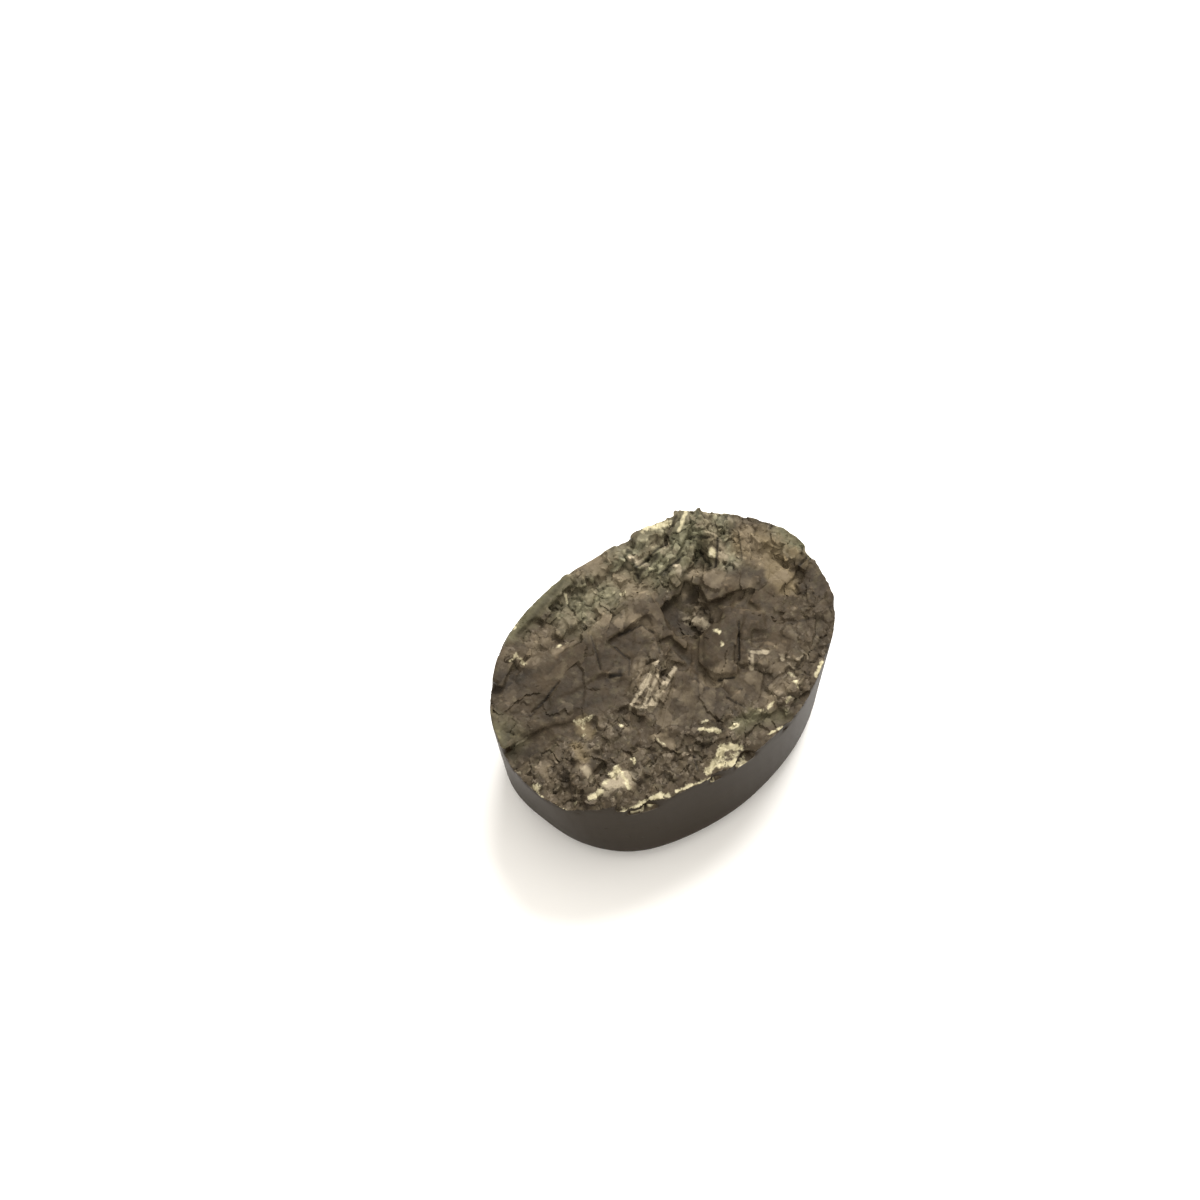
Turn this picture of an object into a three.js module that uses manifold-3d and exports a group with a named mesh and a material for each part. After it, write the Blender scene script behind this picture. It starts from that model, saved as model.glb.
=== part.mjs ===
// A pyrite ring stone: an oval with a ground side and base, and its natural crystal face left rough on top.
// Millimetres, +Z up. The stone rests on its flat spot, centred on the origin, with its long axis along X.
import * as THREE from "three";
import { mergeVertices } from "three/addons/utils/BufferGeometryUtils.js";
import Module from "manifold-3d";

// Driving dimensions
const stoneLength = 18;
const stoneWidth = 12.5;
const rimHeight = 6.3; // where the ground side ends
const flatSpot = 0.5; // size of the resting face, as a share of the rim
const girdleFoot = 0.91; // size of the stone where the side turns under
const footHeight = 0.9; // how high the rounded foot reaches
const bevelDrop = 0.25; // the rim's bevel, in height
const bevelShare = 0.985; // size of the stone at the bevel's top edge
const envelopeHeight = 8; // the ground blank, before its top is broken off
const roundSteps = 72; // steps round the oval

const bedDrop = 0.5; // how far the rock between the crystals lies below the rim
const bedCell = 0.86; // size of its broken facets
const bedRelief = 0.34; // how much their corners go up and down
const rootDepth = 1.7; // how deep a crystal is rooted in the rock
const granuleRoot = 0.8; // how deep a granule is rooted, as a share of its size
const cornerWander = 0.3; // how far a crystal's corners stray, as a share of its width
const cornerLift = 0.12; // how far they stray in height
const seed = 11;

// The oval isn't true: it swells and flattens where the side was ground less or more, at the rim and at the foot.
// Each row is an angle in degrees, a push outwards as a share of the radius, and a spread in degrees.
const rimSwellings = [
  [52, 0.04, 9],
  [82, -0.03, 10],
  [120, 0.028, 16],
  [168, -0.03, 16],
  [205, 0.03, 10],
  [230, 0.026, 10],
  [252, -0.022, 10],
  [290, 0.03, 12],
  [332, 0.014, 22],
  [350, -0.018, 8],
  [5, 0.006, 7],
];
const footSwellings = [
  [188, -0.05, 20],
  [237, 0.1, 24],
  [266, 0.05, 18],
  [292, 0.05, 28],
];

// Broken faces and large crystals: the middle of the top face in x and y and its height over the rim,
// the size along and across, the turn in plan, the rise towards the far end and the lean across, in degrees.
const faces = {
  westShelf: [-6.2, 2.8, -0.23, 3.4, 1.6, 14, 2, 5],
  westTrough: [-4.5, 1.5, -0.42, 4.2, 1.1, -21, 3, -11],
  westRidge: [-5, 0.72, -0.27, 4.6, 0.75, -22, -1, 12],
  farWestBrow: [-8.1, 2.1, -0.25, 1.3, 2.8, -28, -4, 3],
  farWestFoot: [-8.1, -0.5, -0.4, 1.4, 1.4, 12, 5, -6],
  northWestBrow: [-5.7, 4.7, 0.08, 2.4, 1, 28, 3, -4],
  northWestHollow: [-6.1, 3.75, -0.6, 2.1, 1.2, 24, -6, -15],
  northRim: [-2.8, 5.75, 0.2, 4.4, 0.85, 5, 1, 6],
  northBrow: [0.8, 5.7, 0.08, 2.7, 0.85, -7, 2, 4],
  northShelf: [-3.8, 4.45, -0.22, 1.9, 1.5, 24, -3, 5],
  northStep: [-2.2, 4.6, -0.16, 1.5, 1.2, -12, 4, -4],
  westPlateau: [-3.5, 2.35, -0.12, 2.6, 2.1, -9, 4, 2],
  plateauStrip: [-1.72, 2.15, -0.02, 0.9, 2.6, -5, -3, 4],
  plateauBrow: [-0.1, 2.85, 0.02, 3, 1.1, -3, 1, -5],
  plateauPanel: [0, 1.5, -0.26, 1.5, 1.4, -15, 2, -7],
  plateauPost: [1.15, 1.5, -0.02, 0.7, 1.5, -9, 5, 3],
  pitLip: [1.5, 2.6, 0.1, 0.34, 1.2, -12, 2, 0],
  saddle: [-1.4, 0.9, -0.16, 1.5, 1.1, 32, -4, 6],
  saddleStep: [0.1, 0.45, -0.06, 0.8, 0.65, -25, 3, -3],
  saddleFoot: [-3.3, -0.1, -0.23, 2.4, 1, -18, 3, -8],
  centreBoss: [0.9, 0.0, -0.14, 1.2, 0.7, 40, 4, -6],
  veinUpper: [-1.3, 0.1, 0.02, 1.8, 0.32, 34, -2, 8],
  veinMiddle: [-0.9, -0.55, 0.05, 2.2, 0.38, 30, 2, 6],
  veinLower: [-1.6, -1.15, -0.02, 1.6, 0.4, 12, 2, 8],
  fanLow: [-0.9, -2.3, -0.29, 3.2, 1.2, 40, 6, 4],
  fanMiddle: [0, -2.2, -0.2, 2.7, 0.7, 41, 7, 4],
  fanHigh: [0.65, -2.5, -0.12, 2.9, 0.7, 42, 6, 3],
  southPlain: [2.2, -4.1, -0.23, 3.4, 2.3, -14, 2, 5],
  southShoulder: [0.2, -4.1, -0.29, 1.7, 1.6, 22, -4, -3],
  slantShoulder: [2.1, -0.85, 0.08, 2.2, 0.9, 45, 2, -12],
  slantBlock: [2.9, -1.3, 0.27, 3.6, 0.95, 45, 3, -6],
  slantStrip: [3.5, -1.9, 0, 2.2, 0.5, 46, 2, -4],
  diamond: [4.35, -1.15, 0.1, 1.5, 1.0, -45, -3, 6],
  roofBlock: [3.55, -2.95, 0.1, 0.95, 0.95, 44, -8, 9],
  eastLedge: [4.7, -3, -0.1, 2.2, 1.7, -42, 4, 4],
  eastPlain: [6.3, -2.6, -0.17, 3.2, 2.6, -38, -2, 5],
  eastStep: [5.75, -0.9, -0.05, 1.1, 1.5, 12, -5, 3],
  eastCorner: [8, -1.3, -0.27, 1.6, 2, -18, -6, 2],
  pitShelf: [5.0, 1.05, 0.07, 2.7, 1.35, -24, -2, 4],
  ochreSlab: [6.95, 1.5, -0.11, 1.6, 3.2, -12, -5, 3],
  ochreFoot: [6.75, -0.1, 0.05, 1.15, 1.2, 10, 3, -5],
  ochreRidge: [6.85, 1.9, 0.05, 0.32, 1.7, -4, 0, 4],
  ochreBack: [7.85, 2, 0.26, 1, 2.2, 28, -4, -4],
  eastRim: [8.3, 0.55, 0.24, 1, 1.3, 18, -6, 6],
  tableCrystal: [2.45, 4.72, 0.11, 0.85, 0.72, 4, -3, 6],
  rowCrystal: [3.45, 4.78, -0.03, 1.15, 0.66, 8, 4, -3],
  rimCrystal: [4, 5.4, 0.32, 2.1, 0.8, -10, -4, 5],
  bladeCrystal: [5.2, 4.85, 0.42, 1.5, 0.4, 30, 3, -6],
  cornerCrystal: [6.3, 4.5, 0.3, 1.5, 1, -46, -3, 3],
  stepCrystal: [2.95, 3.9, -0.13, 1.7, 0.74, 4, 3, 4],
  neckCrystal: [4.3, 3.98, -0.03, 1.1, 0.8, 12, -4, -4],
  brinkCrystal: [4, 3.1, -0.15, 2, 0.6, 10, 5, -12],
  cubeCrystal: [5.4, 4.15, 0.19, 0.85, 0.85, 24, 6, 5],
  hookCrystal: [5.95, 3.6, 0.21, 0.9, 0.8, 42, -6, 5],
  tentCrystal: [5.45, 2.8, 0.07, 0.72, 0.62, 40, 12, 16],
  wedgeCrystal: [6.1, 2.5, 0.01, 0.8, 1.5, -30, 3, 5],
  backCrystal: [7.1, 3.7, 0.28, 1.4, 1.5, -48, -4, 4],
  southWestLedge: [-6.2, -2.2, -0.11, 1.7, 0.66, 14, 3, 5],
  streakLedge: [-6.2, -3.12, -0.03, 2.3, 0.4, 11, 2, 6],
  streakFoot: [-5.8, -3.65, -0.21, 1.6, 0.8, 9, -3, -5],
  westFloor: [-6.6, -1.1, -0.36, 2.4, 1.2, -12, 5, 4],
  middleFloor: [-4.2, -1.6, -0.29, 2.0, 1.7, 18, 2, 4],
  southEastRim: [4.1, -5.2, -0.27, 2.6, 1.1, 26, 2, 3],
};

// Clusters of small crystals: the middle and half size of an ellipse in plan, how many crystals, and their sizes.
const clusters = [
  { middle: [0.2, 4.5], reach: [2.0, 1.2], count: 16, sizes: [0.34, 0.66] },
  { middle: [4.2, 3.8], reach: [2.2, 1.3], count: 14, sizes: [0.3, 0.52] },
  { middle: [6.6, 3.4], reach: [1.1, 1.3], count: 8, sizes: [0.3, 0.55] },
  { middle: [4.9, 1.8], reach: [1.1, 0.4], count: 5, sizes: [0.28, 0.4] },
  { middle: [8.0, 0.8], reach: [0.8, 1.0], count: 5, sizes: [0.3, 0.5] },
  { middle: [-3.4, 4.3], reach: [2.0, 1.0], count: 8, sizes: [0.32, 0.6] },
  { middle: [-7.8, -1.4], reach: [1.0, 1.4], count: 9, sizes: [0.32, 0.65] },
  { middle: [-5.4, -1.0], reach: [2.0, 0.9], count: 9, sizes: [0.3, 0.6] },
  { middle: [-4.2, -3.8], reach: [3.2, 1.6], count: 24, sizes: [0.34, 0.74] },
  { middle: [-0.6, -4.8], reach: [2.2, 1.0], count: 13, sizes: [0.3, 0.6] },
  { middle: [4.2, -4.5], reach: [1.7, 0.9], count: 10, sizes: [0.3, 0.55] },
  { middle: [6.7, -2.5], reach: [1.4, 1.4], count: 5, sizes: [0.3, 0.45] },
];

// Small crystals that stand on the floor of the pit, this far below the rim.
const pitCluster = { middle: [3.0, 0.95], reach: [0.35, 0.4], count: 5, sizes: [0.28, 0.42] };
const pitFloorDrop = 1.0;

// Hollows broken out of the face: the middle of the floor in x and y and its height over the rim, the size along
// and across, the turn, rise and lean of the floor in degrees, and how many times wider it is at cutterHeight.
const cutterHeight = 2.6;
const hollows = {
  pitWest: [2.1, 1.35, -1.55, 0.75, 1.25, 14, -16, 18, 1.8],
  pitEast: [2.95, 1.2, -1.05, 0.8, 1.2, 18, 10, -10, 1.5],
  pitThroat: [4.1, 2.45, -1.0, 2.0, 0.55, 36, 8, 0, 1.5],
  westHollow: [-7.6, 0.62, -0.85, 1.4, 0.5, -6, 5, 4, 2],
  cornerGroove: [8.4, -0.3, -0.7, 1.2, 0.2, 28, 0, 0, 2],
  centreGroove: [1.05, -1.0, -0.7, 1.5, 0.22, -86, 0, 6, 2],
};

// Cracks: both ends in plan, the width at the top and the depth.
const cracks = [
  [2.0, 4.28, 3.9, 4.45, 0.2, 0.8],
  [3.9, 4.45, 5.1, 5.12, 0.2, 0.8],
  [2.8, 3.42, 4.7, 3.56, 0.17, 0.7],
  [-4.7, 5.16, -1.5, 5.58, 0.15, 0.5],
  [-6.6, 1.78, -4.3, 2.42, 0.16, 0.5],
  [-0.1, -0.9, -2.0, -1.6, 0.15, 0.5],
  [3.55, -1.35, 2.35, -2.6, 0.14, 0.6],
  [-7.2, -2.9, -6.0, -2.5, 0.17, 0.5],
  [-1.95, 3.0, -2.25, 1.3, 0.13, 0.4],
  [0.1, -1.5, -0.6, -2.2, 0.13, 0.35],
  [0.8, -1.7, -0.1, -2.5, 0.13, 0.35],
];

const module = await Module();
module.setup();

// Repeatable numbers from 0 to 1.
function numbersFrom(start) {
  let state = start;
  return () => {
    state = (state * 16807) % 2147483647;
    return state / 2147483647;
  };
}

const random = numbersFrom(seed);

// A repeatable number between minus half the span and plus half the span.
function stray(span) {
  return (random() - 0.5) * span;
}

function radians(degrees) {
  return THREE.MathUtils.degToRad(degrees);
}

// Leaves only the places and the faces between them, with each corner once.
function welded(geometry) {
  geometry.deleteAttribute("normal");
  geometry.deleteAttribute("uv");
  return mergeVertices(geometry, 1e-4);
}

// A welded geometry as a solid that can be joined and cut.
function solidOf(geometry) {
  return new module.Manifold(
    new module.Mesh({
      numProp: 3,
      vertProperties: new Float32Array(geometry.attributes.position.array),
      triVerts: new Uint32Array(geometry.index.array),
    }),
  );
}

function joined(solids) {
  return solids.reduce((whole, next) => whole.add(next));
}

// How far a list of swellings pushes the oval out at an angle, as a share of the radius.
function pushAt(swellings, angle) {
  let share = 0;
  for (const [at, push, spread] of swellings) {
    const apart = THREE.MathUtils.euclideanModulo(angle - at + 180, 360) - 180;
    share += push * Math.exp(-((apart / spread) ** 2));
  }
  return share;
}

// Bends a round of radius 1 to the stone's oval, which changes from the foot to the rim.
function bendToOval(geometry) {
  const places = geometry.attributes.position;
  for (let i = 0; i < places.count; i++) {
    const radius = Math.hypot(places.getX(i), places.getY(i));
    const turn = Math.atan2(places.getY(i), places.getX(i));
    const angle = THREE.MathUtils.radToDeg(turn);
    const level = Math.min(places.getZ(i) / rimHeight, 1);
    const push = level * pushAt(rimSwellings, angle) + (1 - level) * pushAt(footSwellings, angle);
    const reach = (radius * (1 + push)) / 2;
    places.setXY(i, reach * Math.cos(turn) * stoneLength, reach * Math.sin(turn) * stoneWidth);
  }
  return geometry;
}

// The ground blank: flat spot, rounded foot, side that widens upwards, and bevelled rim.
function groundBlank() {
  const profile = [new THREE.Vector2(0, 0)];
  const footSteps = 5;
  for (let i = 0; i <= footSteps; i++) {
    const turn = (i / footSteps) * (Math.PI / 2);
    const share = flatSpot + (girdleFoot - flatSpot) * Math.sin(turn);
    profile.push(new THREE.Vector2(share, footHeight * (1 - Math.cos(turn))));
  }
  profile.push(new THREE.Vector2(1, rimHeight - bevelDrop));
  profile.push(new THREE.Vector2(bevelShare, rimHeight));
  profile.push(new THREE.Vector2(bevelShare, envelopeHeight));
  profile.push(new THREE.Vector2(0, envelopeHeight));
  const round = new THREE.LatheGeometry(profile, roundSteps).rotateX(Math.PI / 2);
  return solidOf(bendToOval(welded(round)));
}

// The rock that the crystals stand in: a slab with an uneven top of broken facets.
function roughBed() {
  const margin = 1.1;
  const length = stoneLength * margin;
  const width = stoneWidth * margin;
  const top = rimHeight - bedDrop;
  const slab = new THREE.BoxGeometry(
    length,
    width,
    top,
    Math.round(length / bedCell),
    Math.round(width / bedCell),
    1,
  );
  const bed = welded(slab.translate(0, 0, top / 2));
  const places = bed.attributes.position;
  for (let i = 0; i < places.count; i++) {
    if (places.getZ(i) > top / 2) {
      const x = places.getX(i) + stray(bedCell * 0.6);
      const y = places.getY(i) + stray(bedCell * 0.6);
      places.setXYZ(i, x, y, top + stray(bedRelief));
    }
  }
  return solidOf(bed);
}

// Turns a block made round its own top or floor to its tilt and carries it to its place.
function placed(block, [x, y, height, , , turn, rise, lean]) {
  block.rotateX(radians(lean));
  block.rotateY(radians(-rise));
  block.rotateZ(radians(turn));
  return solidOf(block.translate(x, y, rimHeight + height));
}

// A block that reaches down from its top face, whose corners stray a little.
function crystal(face, depth) {
  const [, , , along, across] = face;
  const block = welded(new THREE.BoxGeometry(along, across, depth).translate(0, 0, -depth / 2));
  const wander = cornerWander * Math.min(along, across);
  const places = block.attributes.position;
  for (let i = 0; i < places.count; i++) {
    if (places.getZ(i) > -depth / 2) {
      const lift = stray(cornerLift * Math.min(1, across));
      places.setXYZ(i, places.getX(i) + stray(wander), places.getY(i) + stray(wander), lift);
    }
  }
  return placed(block, face);
}

// The cutter for a hollow, which widens from its floor to the open air.
function hollowCutter(hollow) {
  const [, , , along, across, , , , opening] = hollow;
  const block = welded(new THREE.BoxGeometry(along, across, cutterHeight).translate(0, 0, cutterHeight / 2));
  const places = block.attributes.position;
  for (let i = 0; i < places.count; i++) {
    if (places.getZ(i) > 0) {
      places.setXY(i, places.getX(i) * opening, places.getY(i) * opening);
    }
  }
  return placed(block, hollow);
}

// The cutter for a crack: a wedge with its edge down, along a line in plan.
function crackCutter([x1, y1, x2, y2, gap, depth]) {
  const run = Math.hypot(x2 - x1, y2 - y1);
  const rise = 1;
  const halfTop = (gap / 2) * (1 + rise / depth);
  const section = new THREE.Shape([
    new THREE.Vector2(0, -depth),
    new THREE.Vector2(halfTop, rise),
    new THREE.Vector2(-halfTop, rise),
  ]);
  const wedge = new THREE.ExtrudeGeometry(section, { depth: run, bevelEnabled: false });
  wedge.rotateX(Math.PI / 2).rotateZ(Math.PI / 2);
  wedge.rotateZ(Math.atan2(y2 - y1, x2 - x1));
  const level = rimHeight + levelAt((x1 + x2) / 2, (y1 + y2) / 2);
  return solidOf(welded(wedge.translate(x1, y1, level)));
}

// Height over the rim of the rock and large crystals at a place in plan.
function levelAt(x, y) {
  let level = -bedDrop;
  for (const [cx, cy, height, along, across, turn, rise, lean] of Object.values(faces)) {
    const c = Math.cos(radians(turn));
    const s = Math.sin(radians(turn));
    const u = (x - cx) * c + (y - cy) * s;
    const v = -(x - cx) * s + (y - cy) * c;
    if (Math.abs(u) < along / 2 && Math.abs(v) < across / 2) {
      level = Math.max(level, height + u * Math.tan(radians(rise)) + v * Math.tan(radians(lean)));
    }
  }
  return level;
}

// The small crystals of a cluster, part sunk in what they grow from.
function granules({ middle, reach, count, sizes }, groundLevel) {
  const made = [];
  for (let i = 0; i < count; i++) {
    const angle = 2 * Math.PI * random();
    const out = Math.sqrt(random());
    const x = middle[0] + reach[0] * out * Math.cos(angle);
    const y = middle[1] + reach[1] * out * Math.sin(angle);
    const size = THREE.MathUtils.lerp(sizes[0], sizes[1], random() ** 2);
    const height = groundLevel(x, y) + size * (0.1 + 0.26 * random());
    const along = size * (0.8 + 0.9 * random());
    made.push(crystal([x, y, height, along, size, 360 * random(), stray(70), stray(70)], size * (1 + granuleRoot)));
  }
  return made;
}

// Keeps the outer skin: loose crumbs are dropped and closed pockets are filled.
function largestShell(solid) {
  return solid.decompose().reduce((kept, next) => (next.volume() > kept.volume() ? next : kept));
}

function pyriteStone() {
  const large = Object.values(faces).map((face) => crystal(face, rootDepth));
  let rock = joined([roughBed(), ...large]);
  for (const hollow of Object.values(hollows)) {
    rock = rock.subtract(hollowCutter(hollow));
  }
  for (const crack of cracks) {
    rock = rock.subtract(crackCutter(crack));
  }
  const small = clusters.flatMap((cluster) => granules(cluster, levelAt));
  small.push(...granules(pitCluster, () => -pitFloorDrop));
  return largestShell(joined([rock, ...small]).intersect(groundBlank()));
}

// Stands the solid on the ground with its box centred on the origin.
function centred(solid) {
  const { min, max } = solid.boundingBox();
  return solid.translate([-(min[0] + max[0]) / 2, -(min[1] + max[1]) / 2, -min[2]]);
}

function geometryOf(solid) {
  const mesh = solid.getMesh();
  const geometry = new THREE.BufferGeometry();
  geometry.setAttribute("position", new THREE.BufferAttribute(mesh.vertProperties, 3));
  geometry.setIndex(new THREE.BufferAttribute(mesh.triVerts, 1));
  const flat = geometry.toNonIndexed();
  flat.computeVertexNormals();
  return flat;
}

const tarnishedPyrite = new THREE.MeshStandardMaterial({ color: 0x5c4e41, roughness: 0.55, metalness: 0.35 });

const stone = new THREE.Mesh(geometryOf(centred(pyriteStone())), tarnishedPyrite);
stone.name = "pyrite_stone";

const part = new THREE.Group();
part.add(stone);

export default part;
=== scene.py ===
# Pyrite ring stone: a natural crystal face on an oval with a ground side, lying on a pale table
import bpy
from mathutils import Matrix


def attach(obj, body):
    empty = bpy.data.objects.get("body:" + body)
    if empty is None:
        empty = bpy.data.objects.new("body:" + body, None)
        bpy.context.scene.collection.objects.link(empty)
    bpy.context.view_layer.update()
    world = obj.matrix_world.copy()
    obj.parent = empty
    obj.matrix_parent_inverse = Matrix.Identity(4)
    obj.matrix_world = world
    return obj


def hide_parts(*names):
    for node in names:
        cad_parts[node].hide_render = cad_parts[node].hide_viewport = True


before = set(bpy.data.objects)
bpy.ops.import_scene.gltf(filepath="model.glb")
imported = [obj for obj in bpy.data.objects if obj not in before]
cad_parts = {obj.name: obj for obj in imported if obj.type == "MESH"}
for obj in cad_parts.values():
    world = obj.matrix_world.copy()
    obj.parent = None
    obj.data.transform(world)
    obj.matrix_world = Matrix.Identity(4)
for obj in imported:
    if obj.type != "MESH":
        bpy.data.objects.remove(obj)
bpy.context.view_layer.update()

import math
import bpy
import numpy as np
from mathutils import Vector

mm = 0.001


# Small helpers


# sRGB hex to linear RGBA
def toLinear(hexColour):
    values = [int(hexColour[i:i + 2], 16) / 255 for i in (1, 3, 5)]
    linear = [v / 12.92 if v <= 0.04045 else ((v + 0.055) / 1.055) ** 2.4 for v in values]
    return (*linear, 1.0)


# Adds a node; a setting is one of its properties or the value of one of its inputs,
# and a link comes from an output, or from the first output of a node
def addNode(tree, kind, settings=None, links=None):
    node = tree.nodes.new(kind)
    for key, value in (settings or {}).items():
        if isinstance(key, str) and hasattr(node, key):
            setattr(node, key, value)
        else:
            node.inputs[key].default_value = value
    for key, source in (links or {}).items():
        isNode = isinstance(source, bpy.types.Node)
        tree.links.new(source.outputs[0] if isNode else source, node.inputs[key])
    return node


def pickOnly(thing):
    bpy.ops.object.select_all(action="DESELECT")
    thing.select_set(True)
    bpy.context.view_layer.objects.active = thing


def copyOf(thing):
    pickOnly(thing)
    bpy.ops.object.duplicate()
    return bpy.context.object


def applyModifier(thing, kind, **settings):
    modifier = thing.modifiers.new(kind.title(), kind)
    for name, value in settings.items():
        setattr(modifier, name, value)
    pickOnly(thing)
    bpy.ops.object.modifier_apply(modifier=modifier.name)


# All corners in mm, one row each
def placesOf(thing):
    flat = np.empty(len(thing.data.vertices) * 3, np.float32)
    thing.data.vertices.foreach_get("co", flat)
    return flat.reshape(-1, 3) / mm


def putPlaces(thing, places):
    thing.data.vertices.foreach_set("co", (places * mm).ravel())
    thing.data.update()


def normalsOf(thing):
    flat = np.empty(len(thing.data.vertices) * 3, np.float32)
    thing.data.vertices.foreach_get("normal", flat)
    return flat.reshape(-1, 3)


# Both ends of every edge
def edgeEnds(thing):
    ends = np.empty(len(thing.data.edges) * 2, np.int32)
    thing.data.edges.foreach_get("vertices", ends)
    return ends[0::2], ends[1::2]


def markAttribute(thing, name, values):
    layer = thing.data.attributes.get(name) or thing.data.attributes.new(name, "FLOAT", "POINT")
    layer.data.foreach_set("value", np.asarray(values, np.float32))


def markGroup(thing, name, weights):
    group = thing.vertex_groups.new(name=name)
    for i, weight in enumerate(weights):
        if weight > 0.01:  # less doesn't count
            group.add([i], float(weight), "REPLACE")


# Camera, looking down on the stone from its near left end

photoView = {
    "size": 1200,  # width and height of the photograph, in pixels
    "azimuth": -40.2,
    "elevation": 63,
    "distance": 700,  # mm
    "pixelsPerMm": 21.72,  # at the stone's rim
    "rimCentre": (662.6, 658.2),  # where the middle of the rim lies in the photograph
    "rimHeight": 6.3,
    "sensor": 36,
    "nearest": 0.01,  # m, what lies nearer or farther isn't drawn
    "farthest": 5,
}


def makeCamera(view):
    turn, rise = math.radians(view["azimuth"]), math.radians(view["elevation"])
    towards = Vector((math.sin(turn) * math.cos(rise), -math.cos(turn) * math.cos(rise), math.sin(rise)))
    right = Vector((math.cos(turn), math.sin(turn), 0))
    up = towards.cross(right)
    acrossMm = (view["rimCentre"][0] - view["size"] / 2) / view["pixelsPerMm"]
    downMm = (view["rimCentre"][1] - view["size"] / 2) / view["pixelsPerMm"]
    aim = Vector((0, 0, view["rimHeight"])) - right * acrossMm + up * downMm
    bpy.ops.object.camera_add()
    camera = bpy.context.object
    camera.name = "photoCamera"
    camera.location = (aim + towards * view["distance"]) * mm
    camera.rotation_euler = towards.to_track_quat("Z", "Y").to_euler()
    camera.data.sensor_width = view["sensor"]
    camera.data.lens = view["pixelsPerMm"] * view["sensor"] * view["distance"] / view["size"]
    camera.data.clip_start = view["nearest"]
    camera.data.clip_end = view["farthest"]
    bpy.context.scene.camera = camera
    return towards, right


# Zones of the face, seen from above, each a list of strokes:
# both ends in x and y, half the width in mm, and strength

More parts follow.
